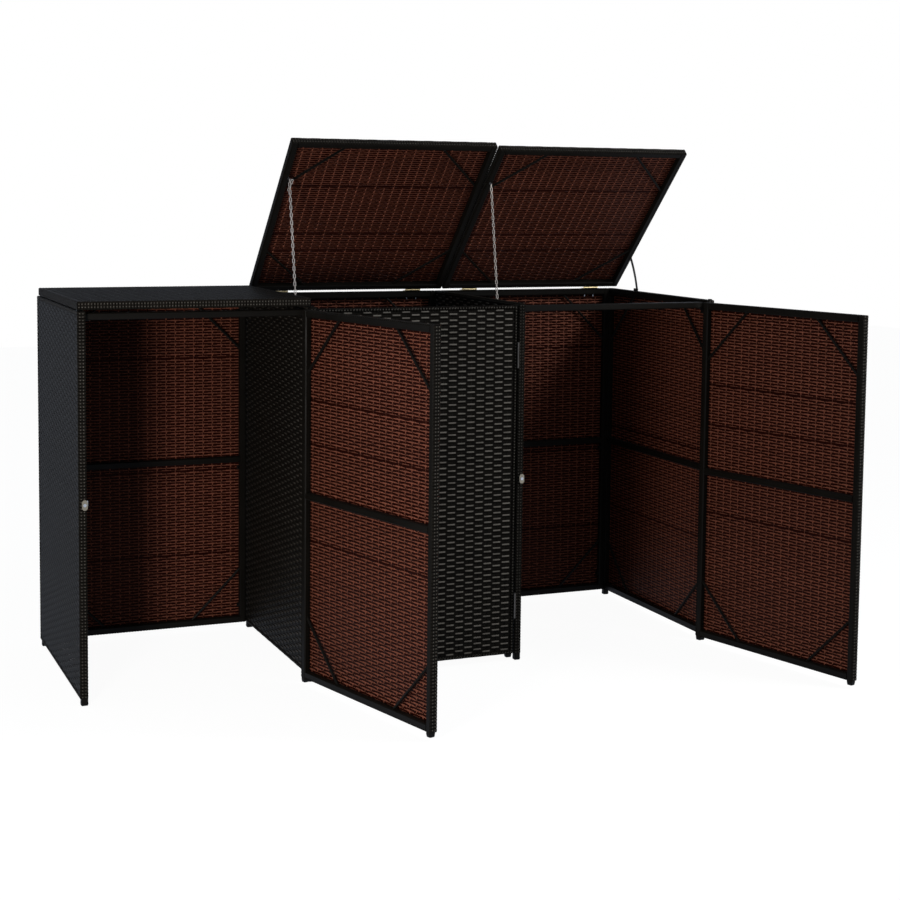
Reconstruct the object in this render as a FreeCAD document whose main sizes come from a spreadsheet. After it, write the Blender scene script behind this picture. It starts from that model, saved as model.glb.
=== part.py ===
import FreeCAD, Part
import math
import os
import Sketcher

# Wheelie bin store for three bins, built of woven panels on square tube frames.
# X runs to the right, Y to the back and Z up; the origin is the middle of the sole of the front left foot.
# Doors one and three and lids two and three stand open.

os.makedirs("parts", exist_ok=True)
V = FreeCAD.Vector
doc = FreeCAD.newDocument("bin_store")

# Sizes in millimetres and degrees
SIZES = {
    "bay_pitch": 680, "tube": 20, "tube_corner": 3, "skin": 4, "wrap": 2,
    "store_depth": 700, "panel_base": 20, "panel_top": 1130, "foot_height": 6, "foot_side": 21,
    "foot_taper": 12,
    "brace": 8, "brace_reach": 160, "back_clear": 0.5,
    "rail_drop": 8, "rail_front": 13,
    "door_gap": 3, "door_rise": 2, "door_drop": 6, "cap_height": 8, "cap_base": 10,
    "door_front_swing": 104.6, "door_last_swing": 104.9,
    "lid_gap": 3, "lid_setback": 30, "lid_lift": 2.5,
    "lid_middle_swing": 45.8, "lid_last_swing": 44.6,
    "leaf": 1.2, "leaf_gap": 0.3, "pin_radius": 1.5, "pin_fit": 0.05, "knuckle_gap": 0.3,
    "door_barrel": 3.3, "door_hinge_tall": 80, "door_hinge_inset": 155, "door_leaf_reach": 18,
    "door_axis_out": 3.3, "lid_barrel": 3.5, "lid_hinge_wide": 55, "lid_hinge_inset": 105, "lid_leaf": 1.5,
    "lid_leaf_back": 22, "lid_leaf_tall": 22, "lid_axis_back": 4, "lid_axis_up": 3.8,
    "lid_screw_back": 13, "lid_screw_up": 12,
    "screw_head": 3.2, "screw_rise": 1.2, "tail_radius": 2.2, "tail_drop": 7, "hinge_screw_spread": 34,
    "knob_radius": 8, "knob_stem": 4, "knob_out": 15, "knob_rim": 6, "knob_inset": 33,
    "knob_rise": 10,
    "catch_wide": 16, "catch_tall": 30, "catch_thick": 4, "catch_rise": 5, "catch_right": 3, "catch_clear": 0.3,
    "washer_radius": 5, "washer_thick": 1, "stop_wide": 4, "stop_tall": 16, "stop_thick": 2, "stop_clear": 0.5,
    "nut_across": 13, "nut_rise": 6, "nut_washer": 8, "nut_inset": 60, "nut_below_bar": 28,
    "bracket_leg": 18, "bracket_thick": 2, "buffer_wide": 14, "buffer_clear": 0.3,
    "wire": 2, "link_width": 8, "link_play": 0.3, "link_count": 33, "tail_links": 3,
    "eye_radius": 4.5, "eye_wire": 0.9, "eye_stem": 2, "chain_out": 5, "eye_low_back": 227, "eye_low_drop": 12,
    "eye_high_front": 145, "eye_high_drop": 6.5,
    "stay_reach": 146, "stay_pivot_up": 14, "stay_stud_rise": 4, "stay_turn_share": 0.3, "stay_arm_thick": 2.5,
    "stay_plate": 2.5, "stay_plate_wide": 26, "stay_plate_front": 9, "stay_plate_drop": 34, "stay_plate_top": 3.5,
    "stud_radius": 1.6, "slot_clear": 0.4, "stay_border": 3, "bracket_tall": 16, "bracket_long": 26,
}
sheet = doc.addObject("Spreadsheet::Sheet", "sizes")
for row, (alias, size) in enumerate(SIZES.items(), 1):
    sheet.set("A%d" % row, alias)
    sheet.set("B%d" % row, str(size))
    sheet.setAlias("B%d" % row, alias)
doc.recompute()


def size(alias):
    """Value of one size as it stands in the sheet."""
    return float(getattr(sheet, alias))


def s(text):
    """Expression with every size name in it pointed at the sheet."""
    out = []
    word = ""
    for letter in text + " ":
        if letter.isalnum() or letter == "_":
            word += letter
            continue
        out.append("sizes." + word if word in SIZES else word)
        out.append(letter)
        word = ""
    return "".join(out).strip()


def bind(item, **sizes):
    """Bind properties of an object to expressions in the size names."""
    for name, text in sizes.items():
        item.setExpression(name, s(str(text)))
    return item


def put(item, x, y, z):
    """Bind the base point of an object."""
    for axis, text in zip("xyz", (x, y, z)):
        item.setExpression("Placement.Base." + axis, s(str(text)))
    return item


def place(item, text):
    """Bind the whole placement of an object."""
    item.setExpression("Placement", s(text))
    return item


def box(name, wide, deep, tall, x, y, z):
    item = bind(doc.addObject("Part::Box", name), Length=wide, Width=deep, Height=tall)
    return put(item, x, y, z)


def rod(name, radius, tall, x, y, z, axis=V(0, 0, 1), flats=0):
    """Round bar, or one with flats, whose radius is then that of its corners."""
    if flats:
        item = bind(doc.addObject("Part::Prism", name), Circumradius=radius, Height=tall)
        item.Polygon = flats
    else:
        item = bind(doc.addObject("Part::Cylinder", name), Radius=radius, Height=tall)
    item.Placement = FreeCAD.Placement(V(), FreeCAD.Rotation(V(0, 0, 1), axis))
    return put(item, x, y, z)


def group(name, members, text=None):
    """Several solids kept apart in one object."""
    item = doc.addObject("Part::Compound", name)
    item.Links = members
    return place(item, text) if text else item


def fuse(name, members):
    item = doc.addObject("Part::MultiFuse", name)
    item.Shapes = members
    return item


def cut(name, base, tool):
    item = doc.addObject("Part::Cut", name)
    item.Base = base
    item.Tool = tool
    return item


# Small round pieces are drawn with this many flats, wider ones with twice as many, and bores clear the pins' corners
FLATS = 8
PIN_BORE = "((pin_radius + pin_fit) / %s)" % math.cos(math.pi / FLATS)

# Places of the posts, bays and panels
POST = ["0", "bay_pitch", "2 * bay_pitch", "3 * bay_pitch - skin"]
FRONT = "-(tube / 2 + wrap)"
BACK = "(store_depth - tube / 2 - wrap)"
BAY_LEFT = ["(%s + tube / 2)" % post for post in POST[:3]]
BAY_RIGHT = ["(%s - tube / 2)" % POST[i + 1] + (" - skin" if i < 2 else "") for i in range(3)]
DOOR_LEFT = ["(%s + door_gap)" % left for left in BAY_LEFT]
DOOR_RIGHT = ["(%s - door_gap)" % right for right in BAY_RIGHT]
DOOR_AXIS = ["(%s + door_gap / 2)" % right for right in DOOR_RIGHT]
DOOR_AXIS_Y = "(%s - door_axis_out)" % FRONT
STORE_LEFT = "(-(tube / 2 + skin))"
STORE_RIGHT = "(%s + tube / 2 + skin)" % POST[3]
PANEL_MIDDLE = "((panel_base + panel_top) / 2)"
DOOR_BASE = "(panel_base + door_rise)"
DOOR_TOP = "(panel_top - door_drop)"
KNOB_HIGH = "(%s + knob_rise)" % PANEL_MIDDLE
CATCH_HIGH = "(%s + catch_rise)" % PANEL_MIDDLE
RAIL_TOP = "(panel_top - rail_drop)"
LID_WIDE = "((%s - %s - 2 * lid_gap) / 3)" % (STORE_RIGHT, STORE_LEFT)
LID_LONG = "(store_depth - lid_setback)"
LID_LEFT = ["(%s + %d * (%s + lid_gap))" % (STORE_LEFT, i, LID_WIDE) for i in range(3)]
LID_BASE = "(panel_top + lid_lift)"
LID_BACK = "(%s + %s)" % (FRONT, LID_LONG)
LID_AXIS_Y = "(%s + lid_axis_back)" % LID_BACK
LID_AXIS_Z = "(panel_top + lid_axis_up)"

# Turns of the open doors and lids about their hinges
DOOR_TURN = [
    "placement(vector(0; 0; 0); rotationz(%s); vector(%s; %s; 0))" % (swing, axis, DOOR_AXIS_Y)
    for swing, axis in zip(("door_front_swing", "0", "door_last_swing"), DOOR_AXIS)
]
LID_TURN = [
    "placement(vector(0; 0; 0); rotationx(-%s); vector(0; %s; %s))" % (swing, LID_AXIS_Y, LID_AXIS_Z)
    for swing in ("0", "lid_middle_swing", "lid_last_swing")
]


def bevelled_outline(sketch, wide, tall, corner):
    """Rectangle with cut corners about the sketch origin, bound to three expressions."""
    half, bevel = 10, 3
    near = half - bevel
    corners = [V(-near, -half), V(near, -half), V(half, -near), V(half, near)]
    corners += [corner * -1 for corner in corners]
    count = len(corners)
    sketch.addGeometry([Part.LineSegment(corners[k], corners[(k + 1) % count]) for k in range(count)])
    for k in range(count):
        sketch.addConstraint(Sketcher.Constraint("Coincident", k, 2, (k + 1) % count, 1))
    for k in range(4):
        sketch.addConstraint(Sketcher.Constraint("Symmetric", k, 1, k + 4, 1, -1, 1))
    sketch.addConstraint(Sketcher.Constraint("Horizontal", 0))
    sketch.addConstraint(Sketcher.Constraint("Vertical", 2))
    measures = [
        ("DistanceX", (6, 1, 2, 1), 2 * half, wide), ("DistanceY", (0, 1, 4, 1), 2 * half, tall),
        ("DistanceX", (1, 1, 1, 2), bevel, corner), ("DistanceY", (1, 1, 1, 2), bevel, corner),
        ("DistanceX", (3, 2, 3, 1), bevel, corner), ("DistanceY", (3, 1, 3, 2), bevel, corner),
    ]
    for number, (kind, ends, start, text) in enumerate(measures):
        sketch.addConstraint(Sketcher.Constraint(kind, *ends, start))
        label = "measure_%d" % number
        sketch.renameConstraint(sketch.ConstraintCount - 1, label)
        bind(sketch, **{"Constraints." + label: text})


def bar(name, wide, tall, corner, length):
    """Body with one bevelled bar padded up from its own XY plane, with its sketch and pad."""
    body = doc.addObject("PartDesign::Body", name)
    sketch = body.newObject("Sketcher::SketchObject", name + "_outline")
    plane = [item for item in body.Origin.OriginFeatures if item.Role == "XY_Plane"][0]
    sketch.AttachmentSupport = (plane, [""])
    sketch.MapMode = "FlatFace"
    bevelled_outline(sketch, wide, tall, corner)
    pad = bind(body.newObject("PartDesign::Pad", name + "_pad"), Length=length)
    pad.Profile = sketch
    body.Tip = pad
    return body, sketch, pad


def tubes(name, length, spacing, count, across, text):
    """Row of equal tubes along their own Z, repeated across X or Y of the sketch."""
    body, sketch, pad = bar(name, "tube", "tube", "tube_corner", length)
    if count > 1:
        row = bind(body.newObject("PartDesign::LinearPattern", name + "_row"), Length=spacing)
        row.Originals = [pad]
        row.Direction = (sketch, ["H_Axis" if across == "x" else "V_Axis"])
        row.Occurrences = count
        body.Tip = row
    return place(body, text)


# How a panel drawn flat stands in the store: its own X, Y and outer side
FACING = {
    "front": "rotationx(90)",
    "back": "rotationz(180) * rotationx(90)",
    "left": "rotationz(-90) * rotationx(90)",
    "right": "rotationz(90) * rotationx(90)",
    "top": "rotationz(0)",
}


def panel(name, wide, tall, bars, drop, corner, facing, turn=None):
    """Ladder frame with corner braces, and its woven skin, drawn flat with the skin on top. Each brace is
    drawn too long, with its middle half its reach from the corner, and trimmed where it meets the tubes."""
    stand = "placement(vector(%s; %s; %s); %s)" % (*corner, FACING[facing])
    if turn:
        stand = turn + " * " + stand
    edge = "(wrap + tube)"
    middle = "wrap + tube / 2"
    below = drop if drop != "0" else "(-wrap)"
    stiles = tubes(
        name + "_stiles", "%s - wrap + %s" % (tall, below), "%s - 2 * wrap - tube" % wide, 2, "x",
        "placement(vector(%s; -%s; tube / 2); rotationx(-90))" % (middle, below),
    )
    rails = tubes(
        name + "_rails", "%s - 2 * %s" % (wide, edge), "%s - 2 * wrap - tube" % tall, bars, "y",
        "placement(vector(%s; %s; tube / 2); rotationy(90))" % (edge, middle),
    )
    rods = []
    for right in (False, True):
        for high in (False, True):
            x = "(%s - %s)" % (wide, edge) if right else edge
            y = "(%s - %s)" % (tall, edge) if high else edge
            side, rise = (-1 if right else 1), (-1 if high else 1)
            start_x = "%s + (%d) * brace_reach * (1 - sqrt(2)) / 2" % (x, side)
            start_y = "%s + (%d) * brace_reach * (1 + sqrt(2)) / 2" % (y, rise)
            label = name + "_brace_%d%d" % (right, high)
            slant = V(side, -rise, 0)
            rods.append(rod(label, "brace / 2", "2 * brace_reach", start_x, start_y, "tube / 2", slant, FLATS))
    window = box(
        name + "_window", "%s - 2 * %s" % (wide, edge), "%s - 2 * %s" % (tall, edge), "tube", edge, edge, "0",
    )
    braces = doc.addObject("Part::Common", name + "_braces")
    braces.Base = group(name + "_rods", rods)
    braces.Tool = window
    frame = group(name + "_frame", [stiles, rails, braces], stand)
    field = box(name + "_field", wide, tall, "skin", "0", "0", "tube")
    sides = [
        box(name + "_wrap_left", "wrap", tall, "tube", "0", "0", "0"),
        box(name + "_wrap_right", "wrap", tall, "tube", "%s - wrap" % wide, "0", "0"),
        box(name + "_wrap_top", "%s - 2 * wrap" % wide, "wrap", "tube", "wrap", "%s - wrap" % tall, "0"),
    ]
    inset = edge if drop != "0" else "wrap"
    foot = box(name + "_wrap_foot", "%s - 2 * %s" % (wide, inset), "wrap", "tube", inset, "0", "0")
    weave = group(name + "_weave", [field] + sides + [foot], stand)
    return frame, weave


NODES = []

# Side panels and dividers, with a middle rail and posts that run down to the feet
PANEL_TALL = "(panel_top - panel_base)"
POST_DROP = "(panel_base - foot_height)"
for name, post in zip(("left_side", "divider_1", "divider_2"), POST):
    corner = ("(%s + tube / 2)" % post, BACK, "panel_base")
    NODES += panel(name, "store_depth", PANEL_TALL, 3, POST_DROP, corner, "left")
corner = ("(%s - tube / 2)" % POST[3], FRONT, "panel_base")
NODES += panel("right_side", "store_depth", PANEL_TALL, 3, POST_DROP, corner, "right")

# Back panels between the side panels
for i in range(3):
    wide = "(%s - %s - 2 * back_clear)" % (BAY_RIGHT[i], BAY_LEFT[i])
    corner = ("(%s - back_clear)" % BAY_RIGHT[i], "(%s - skin - tube)" % BACK, "panel_base")
    NODES += panel("back_%d" % (i + 1), wide, PANEL_TALL, 3, "0", corner, "back")

# Doors, closed between the posts and then turned on their hinges
DOOR_TALL = "(%s - %s)" % (DOOR_TOP, DOOR_BASE)
DOOR_DROP = "(%s - cap_base - cap_height)" % DOOR_BASE
for i in range(3):
    wide = "(%s - %s)" % (DOOR_RIGHT[i], DOOR_LEFT[i])
    corner = (DOOR_LEFT[i], "(%s + skin + tube)" % FRONT, DOOR_BASE)
    NODES += panel("door_%d" % (i + 1), wide, DOOR_TALL, 3, DOOR_DROP, corner, "front", DOOR_TURN[i])

# Lids, closed on the panels and then lifted on their hinges
for i in range(3):
    corner = (LID_LEFT[i], FRONT, LID_BASE)
    NODES += panel("lid_%d" % (i + 1), LID_WIDE, LID_LONG, 2, "0", corner, "top", LID_TURN[i])


# Smooth front rails behind the door tops
rails = []
for i in range(3):
    middle = "(rail_front + tube / 2)"
    text = "placement(vector(%s; %s; %s - tube / 2); rotationy(90))" % (BAY_LEFT[i], middle, RAIL_TOP)
    rails.append(tubes("front_rail_%d" % i, "%s - %s" % (BAY_RIGHT[i], BAY_LEFT[i]), "0", 1, "x", text))
NODES.append(group("front_rails", rails))

# Angle brackets under both ends of each front rail
brackets = []
for i in range(3):
    for right in (False, True):
        name = "rail_bracket_%d%d" % (i, right)
        x = "(%s - bracket_leg)" % BAY_RIGHT[i] if right else BAY_LEFT[i]
        leg = "(%s - bracket_thick)" % BAY_RIGHT[i] if right else BAY_LEFT[i]
        under = "(%s - tube)" % RAIL_TOP
        flat = box(name + "_flat", "bracket_leg", "tube - 2 * wrap", "bracket_thick", x,
                   "rail_front + wrap", "%s - bracket_thick" % under)
        upright = box(name + "_upright", "bracket_thick", "tube - 2 * wrap", "bracket_leg", leg,
                      "rail_front + wrap", "%s - bracket_leg" % under)
        brackets.append(fuse(name, [flat, upright]))
NODES.append(group("rail_brackets", brackets))


def plug(name, side, tall, text):
    """Block under the end of a tube that narrows to its sole."""
    body, sketch, pad = bar(name, side, side, "tube_corner", tall)
    bind(pad, TaperAngle="-foot_taper")
    return place(body, text)


# Eight feet under the posts, narrower at the sole
feet = []
for i in range(4):
    for back in (False, True):
        y = "(%s - wrap - tube / 2)" % BACK if back else "0"
        name = "foot_%d%d" % (i, back)
        text = "placement(vector(%s; %s; foot_height); rotationx(180))" % (POST[i], y)
        feet.append(plug(name, "foot_side", "foot_height", text))
NODES.append(group("feet", feet))

# Caps under the door stiles
for i in range(3):
    caps = []
    for right in (False, True):
        x = "(%s - wrap - tube / 2)" % DOOR_RIGHT[i] if right else "(%s + wrap + tube / 2)" % DOOR_LEFT[i]
        y = "(%s + skin + tube / 2)" % FRONT
        text = "placement(vector(%s; %s; cap_base + cap_height); rotationx(180))" % (x, y)
        caps.append(plug("cap_%d%d" % (i, right), "tube", "cap_height", text))
    NODES.append(group("door_caps_%d" % (i + 1), caps, DOOR_TURN[i]))


# Knuckles of a hinge barrel, shared between the fixed leaf and the moving leaf
KNUCKLES = 5
SHARES = {"fixed": (0, 2, 4), "moving": (1, 3)}


def knuckle_spans(start, long, mine):
    """Start and length of each of one leaf's knuckles, with a gap between neighbours."""
    share = "(%s / %d)" % (long, KNUCKLES)
    found = []
    for k in mine:
        low = "0" if k == 0 else "knuckle_gap / 2"
        high = "0" if k == KNUCKLES - 1 else "knuckle_gap / 2"
        found.append(("%s + %d * %s + %s" % (start, k, share, low), "%s - %s - %s" % (share, low, high)))
    return found


def on_pin(name, leaf, pieces, long, x, y, z, axis):
    """One leaf fused from its pieces, with the pin in it if it is fixed, or bored for the pin if it moves."""
    if leaf == "fixed":
        pin = rod(name + "_pin", "pin_radius", long, x, y, z, axis, FLATS)
        return fuse(name, pieces + [pin])
    bore = rod(name + "_bore", PIN_BORE, long, x, y, z, axis, FLATS)
    return cut(name, fuse(name + "_whole", pieces), bore)


# Door hinges: a leaf with the pin on the post, and a leaf on the door that turns on the pin
UP = V(0, 0, 1)
fixed = []
for i in range(3):
    moving = []
    for height, level in ((DOOR_BASE + " + door_hinge_inset", "low"), (DOOR_TOP + " - door_hinge_inset", "high")):
        start = "(%s - door_hinge_tall / 2)" % height
        x, y = DOOR_AXIS[i], DOOR_AXIS_Y
        for leaf, leaves in (("fixed", fixed), ("moving", moving)):
            name = "door_hinge_%d_%s_%s" % (i + 1, level, leaf)
            face = "(%s - leaf)" % BAY_RIGHT[i] if leaf == "fixed" else DOOR_RIGHT[i]
            pieces = [box(name + "_plate", "leaf", "door_leaf_reach", "door_hinge_tall", face,
                          "%s + leaf_gap" % FRONT, start)]
            for k, (base, tall) in enumerate(knuckle_spans(start, "door_hinge_tall", SHARES[leaf])):
                pieces.append(rod("%s_knuckle_%d" % (name, k), "door_barrel", tall, x, y, base, UP, FLATS))
                pieces.append(box("%s_tab_%d" % (name, k), "leaf", "leaf_gap + leaf", tall, face,
                                  "%s - leaf" % FRONT, base))
            leaves.append(on_pin(name, leaf, pieces, "door_hinge_tall", x, y, start, UP))
    NODES.append(group("door_%d_hinge_leaves" % (i + 1), moving, DOOR_TURN[i]))
NODES.append(group("post_hinge_leaves", fixed))

# Lid hinges: the fixed leaf lies on the back panel's top, the moving leaf on the lid's back edge
RIGHT = V(1, 0, 0)
BACKWARD = V(0, 1, 0)
LID_REACH = "(lid_barrel + 2 * leaf_gap)"
LID_FACE = "(%s - lid_barrel - leaf_gap / 2)" % LID_AXIS_Y
LEAF_BASE = "(%s - lid_barrel)" % LID_AXIS_Z
fixed = []
screws = []
for i in range(3):
    moving = []
    for right in (False, True):
        middle = "(%s + %s)" % (LID_LEFT[i], LID_WIDE + " - lid_hinge_inset" if right else "lid_hinge_inset")
        start = "(%s - lid_hinge_wide / 2)" % middle
        for leaf, leaves in (("fixed", fixed), ("moving", moving)):
            name = "lid_hinge_%d%d_%s" % (i + 1, right, leaf)
            if leaf == "fixed":
                pieces = [box(name + "_plate", "lid_hinge_wide", "lid_leaf_back - lid_barrel - leaf_gap", "lid_leaf",
                              start, "%s + lid_barrel + leaf_gap" % LID_AXIS_Y, LEAF_BASE)]
            else:
                pieces = [box(name + "_plate", "lid_hinge_wide", "lid_leaf", "lid_leaf_tall - lid_barrel",
                              start, LID_FACE, "%s + lid_barrel + leaf_gap" % LID_AXIS_Z)]
            for k, (base, wide) in enumerate(knuckle_spans(start, "lid_hinge_wide", SHARES[leaf])):
                pieces.append(rod("%s_knuckle_%d" % (name, k), "lid_barrel", wide, base, LID_AXIS_Y, LID_AXIS_Z,
                                  RIGHT, FLATS))
                tab = "%s_tab_%d" % (name, k)
                if leaf == "fixed":
                    pieces.append(box(tab, wide, LID_REACH, "lid_leaf", base, LID_AXIS_Y, LEAF_BASE))
                else:
                    pieces.append(box(tab, wide, "lid_leaf", LID_REACH, base, LID_FACE, LID_AXIS_Z))
            leaves.append(on_pin(name, leaf, pieces, "lid_hinge_wide", start, LID_AXIS_Y, LID_AXIS_Z, RIGHT))
        for side in (-1, 1):
            name = "lid_screw_%d%d%d" % (i + 1, right, side > 0)
            x = "%s + (%d) * hinge_screw_spread / 2" % (middle, side)
            back = "%s + lid_screw_back" % LID_AXIS_Y
            screws.append(rod(name + "_head", "screw_head", "screw_rise", x, back, "%s + lid_leaf" % LEAF_BASE,
                              UP, FLATS))
            screws.append(rod(name + "_tail", "tail_radius", "tail_drop", x, back,
                              "panel_top - wrap - tube - tail_drop", UP, FLATS))
            moving.append(rod(name, "screw_head", "screw_rise", x, "%s + lid_leaf" % LID_FACE,
                              "%s + lid_screw_up" % LID_AXIS_Z, BACKWARD, FLATS))
    NODES.append(group("lid_%d_hinge_leaves" % (i + 1), moving, LID_TURN[i]))
NODES.append(group("rail_hinge_leaves", fixed))
NODES.append(group("rail_hinge_screws", screws))

# Small turned knobs on the doors near the free edge: a stem and a rim
FORWARD = V(0, -1, 0)
for i in range(3):
    name = "door_%d_knob" % (i + 1)
    x = "%s + knob_inset" % DOOR_LEFT[i]
    stem = rod(name + "_stem", "knob_stem", "knob_out - knob_rim", x, FRONT, KNOB_HIGH, FORWARD, 2 * FLATS)
    rim = rod(name + "_rim", "knob_radius", "knob_rim", x, "%s - knob_out + knob_rim" % FRONT, KNOB_HIGH, FORWARD,
              2 * FLATS)
    NODES.append(place(fuse(name, [stem, rim]), DOOR_TURN[i]))

# Catches with round ends that turn on a screw in the post, and stop tabs behind the free edges of the doors
stops = []
screws = []
for i in range(3):
    name = "catch_%d" % (i + 1)
    x = "(%s + catch_right)" % POST[i]
    back = "(%s - catch_clear)" % FRONT
    reach = "(catch_tall / 2 - catch_wide / 2)"
    ends = [
        rod(name + "_end_%d" % k, "catch_wide / 2", "catch_thick", x, back, "%s %s %s" % (CATCH_HIGH, sign, reach),
            FORWARD, 2 * FLATS)
        for k, sign in enumerate("-+")
    ]
    middle = box(name + "_middle", "catch_wide", "catch_thick", "catch_tall - catch_wide", "%s - catch_wide / 2" % x,
                 "%s - catch_thick" % back, "%s - %s" % (CATCH_HIGH, reach))
    bore = rod(name + "_bore", PIN_BORE, "catch_thick", x, back, CATCH_HIGH, FORWARD, FLATS)
    NODES.append(cut(name, fuse(name + "_whole", ends + [middle]), bore))
    pin = rod(name + "_pin", "pin_radius", "2 * catch_clear + catch_thick", x, FRONT, CATCH_HIGH, FORWARD, FLATS)
    cap = rod(name + "_cap", "washer_radius", "washer_thick", x, "%s - catch_thick - catch_clear" % back,
              CATCH_HIGH, FORWARD, FLATS)
    screws.append(fuse(name + "_screw", [pin, cap]))
    stops.append(box("stop_tab_%d" % i, "stop_wide + door_gap", "stop_thick", "stop_tall", BAY_LEFT[i],
                     "%s + skin + tube + stop_clear" % FRONT, "%s - stop_tall / 2" % CATCH_HIGH))
NODES.append(group("catch_screws", screws))
NODES.append(group("door_stops", stops))

# Cap nuts that hold the back panels to the side panels
nuts = []
levels = ("(panel_base + nut_inset)", "(%s - nut_below_bar)" % PANEL_MIDDLE, "(panel_top - nut_inset)")
for i in range(3):
    for right in (False, True):
        side = -1 if right else 1
        edge = BAY_RIGHT[i] if right else BAY_LEFT[i]
        x = "(%s + (%d) * (back_clear + wrap + tube))" % (edge, side)
        y = "(%s - skin - tube / 2)" % BACK
        for level, z in enumerate(levels):
            name = "nut_%d%d%d" % (i, right, level)
            washer = rod(name + "_washer", "nut_washer", "washer_thick", x, y, z, RIGHT * side, FLATS)
            hexagon = rod(name + "_hexagon", "nut_across / sqrt(3)", "nut_rise",
                          "%s + (%d) * washer_thick" % (x, side), y, z, RIGHT * side, 6)
            nuts.append(fuse(name, [washer, hexagon]))
NODES.append(group("panel_nuts", nuts))

# Soft pads on the panel tops that the front corners of the lids come down on
pads = []
for i in range(3):
    for right in (False, True):
        tall = "lid_lift - buffer_clear"
        outer = "(%s + %s - wrap - buffer_wide / 2)" % (LID_LEFT[i], LID_WIDE)
        inner = outer if right else "(%s + wrap)" % LID_LEFT[i]
        pads.append(box("pad_%d%d" % (i, right), "buffer_wide / 2", "buffer_wide", tall, inner, "0", "panel_top"))
NODES.append(group("lid_pads", pads))


def lid_point(i, x, y, z):
    """Point given in the closed store, carried along with the lifted lid."""
    turn = doc.getObject("lid_%d_frame" % (i + 1)).Placement
    flat = V(size_of(LID_LEFT[i]), size_of(FRONT), size_of(LID_BASE))
    return turn.multVec(V(x, y, z) - flat)


def size_of(text):
    """Number behind an expression in the size names."""
    probe.setExpression("X", s(text))
    doc.recompute()
    return float(probe.X)


probe = doc.addObject("Part::Vertex", "probe")
doc.recompute()


# Share of a link's half width that its bevelled corners take
LINK_BEVEL = 0.55


def link(centre, along, side):
    """Closed link of square wire, long axis along, flat in the plane of along and side."""
    across = along.cross(side).normalize()
    side = across.cross(along).normalize()
    half_in = (pitch + size("link_play")) / 2
    wire = size("wire")
    half_wide = size("link_width") / 2
    loops = []
    for grow in (wire, 0):
        a = half_in + grow
        b = half_wide - wire + grow
        bevel = b * LINK_BEVEL
        corners = [(a, b - bevel), (a - bevel, b), (bevel - a, b), (-a, b - bevel)]
        corners += [(-u, -v) for u, v in corners]
        spots = [centre + along * u + side * v - across * (wire / 2) for u, v in corners]
        loops.append(Part.Face(Part.makePolygon(spots + spots[:1])))
    return loops[0].cut(loops[1]).extrude(across * wire)


def eye_ring(name, x, y, z):
    """Ring of a screw eye, standing across the Y direction."""
    thick = "(2 * eye_wire)"
    near = "%s - eye_wire" % y
    outer = rod(name + "_outer", "eye_radius", thick, x, near, z, BACKWARD, 2 * FLATS)
    inner = rod(name + "_inner", "eye_radius - 2 * eye_wire", thick, x, near, z, BACKWARD, 2 * FLATS)
    return cut(name, outer, inner)


# Stay chains from an eye on the divider to an eye on the lid, with a loose tail at the top of the middle one
TAIL_LEAN = V(-0.35, 0, -0.94).normalize()
TAIL_START = 0.2
low_eyes = []
for i in (1, 2):
    x = size_of("%s + chain_out" % BAY_LEFT[i])
    low = V(x, size_of("%s + eye_low_back" % FRONT), size("panel_top") - size("eye_low_drop"))
    ring = eye_ring("low_ring_%d" % i, "%s + chain_out" % BAY_LEFT[i], "%s + eye_low_back" % FRONT,
                    "panel_top - eye_low_drop")
    stem = rod("low_stem_%d" % i, "eye_stem / 2", "chain_out - eye_radius + eye_wire", BAY_LEFT[i],
               "%s + eye_low_back" % FRONT, "panel_top - eye_low_drop", RIGHT, FLATS)
    low_eyes.append(fuse("low_eye_%d" % i, [ring, stem]))
    name = "lid_%d_chain_eye" % (i + 1)
    high_y = "%s + eye_high_front" % FRONT
    ring = eye_ring(name + "_ring", "%s + chain_out" % BAY_LEFT[i], high_y, "%s - eye_high_drop" % LID_BASE)
    stem = rod(name + "_stem", "eye_stem / 2", "eye_high_drop - eye_radius + eye_wire",
               "%s + chain_out" % BAY_LEFT[i], high_y, "%s - eye_high_drop + eye_radius - eye_wire" % LID_BASE,
               UP, FLATS)
    NODES.append(place(fuse(name, [ring, stem]), LID_TURN[i]))
    doc.recompute()
    high = lid_point(i, x, size_of(high_y), size_of(LID_BASE) - size("eye_high_drop"))
    reach = size("eye_radius") - size("eye_wire")
    bottom = low + V(0, 0, reach)
    normal = doc.getObject("lid_%d_frame" % (i + 1)).Placement.Rotation.multVec(V(0, 0, 1))
    top = high - normal * reach
    along = (top - bottom).normalize()
    hold = math.sqrt(2) * size("eye_wire") + size("link_play") / 2
    count = int(size("link_count"))
    pitch = ((top - bottom).Length + 2 * hold - size("link_play")) / count
    links = []
    for k in range(count):
        centre = bottom + along * ((pitch + size("link_play")) / 2 - hold + k * pitch)
        side = V(0, 1, 0) if k % 2 == 0 else V(1, 0, 0)
        links.append(link(centre, along, side))
    if i == 1:
        start = links[-1].BoundBox.Center + V(size("link_width") / 2 + 2 * size("wire"), 0, 0)
        for k in range(int(size("tail_links"))):
            side = V(1, 0, 0) if k % 2 == 0 else V(0, 1, 0)
            links.append(link(start + TAIL_LEAN * (pitch * (k + TAIL_START)), TAIL_LEAN, side))
    chain = doc.addObject("Part::Feature", "lid_%d_chain" % (i + 1))
    chain.Shape = Part.Compound(links)
    NODES.append(chain)
NODES.append(group("divider_chain_eyes", low_eyes))

# Slotted stay of the last lid: the slot follows the path that the stud takes past the arm as the lid swings
pivot = V(0, size_of(LID_AXIS_Y) - size("stay_reach"), size_of(LID_BASE) + size("stay_pivot_up"))
stud = V(0, pivot.y, size("panel_top") + size("stay_stud_rise"))
axis = V(0, size_of(LID_AXIS_Y), size_of(LID_AXIS_Z))
full = size("lid_last_swing")


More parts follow.
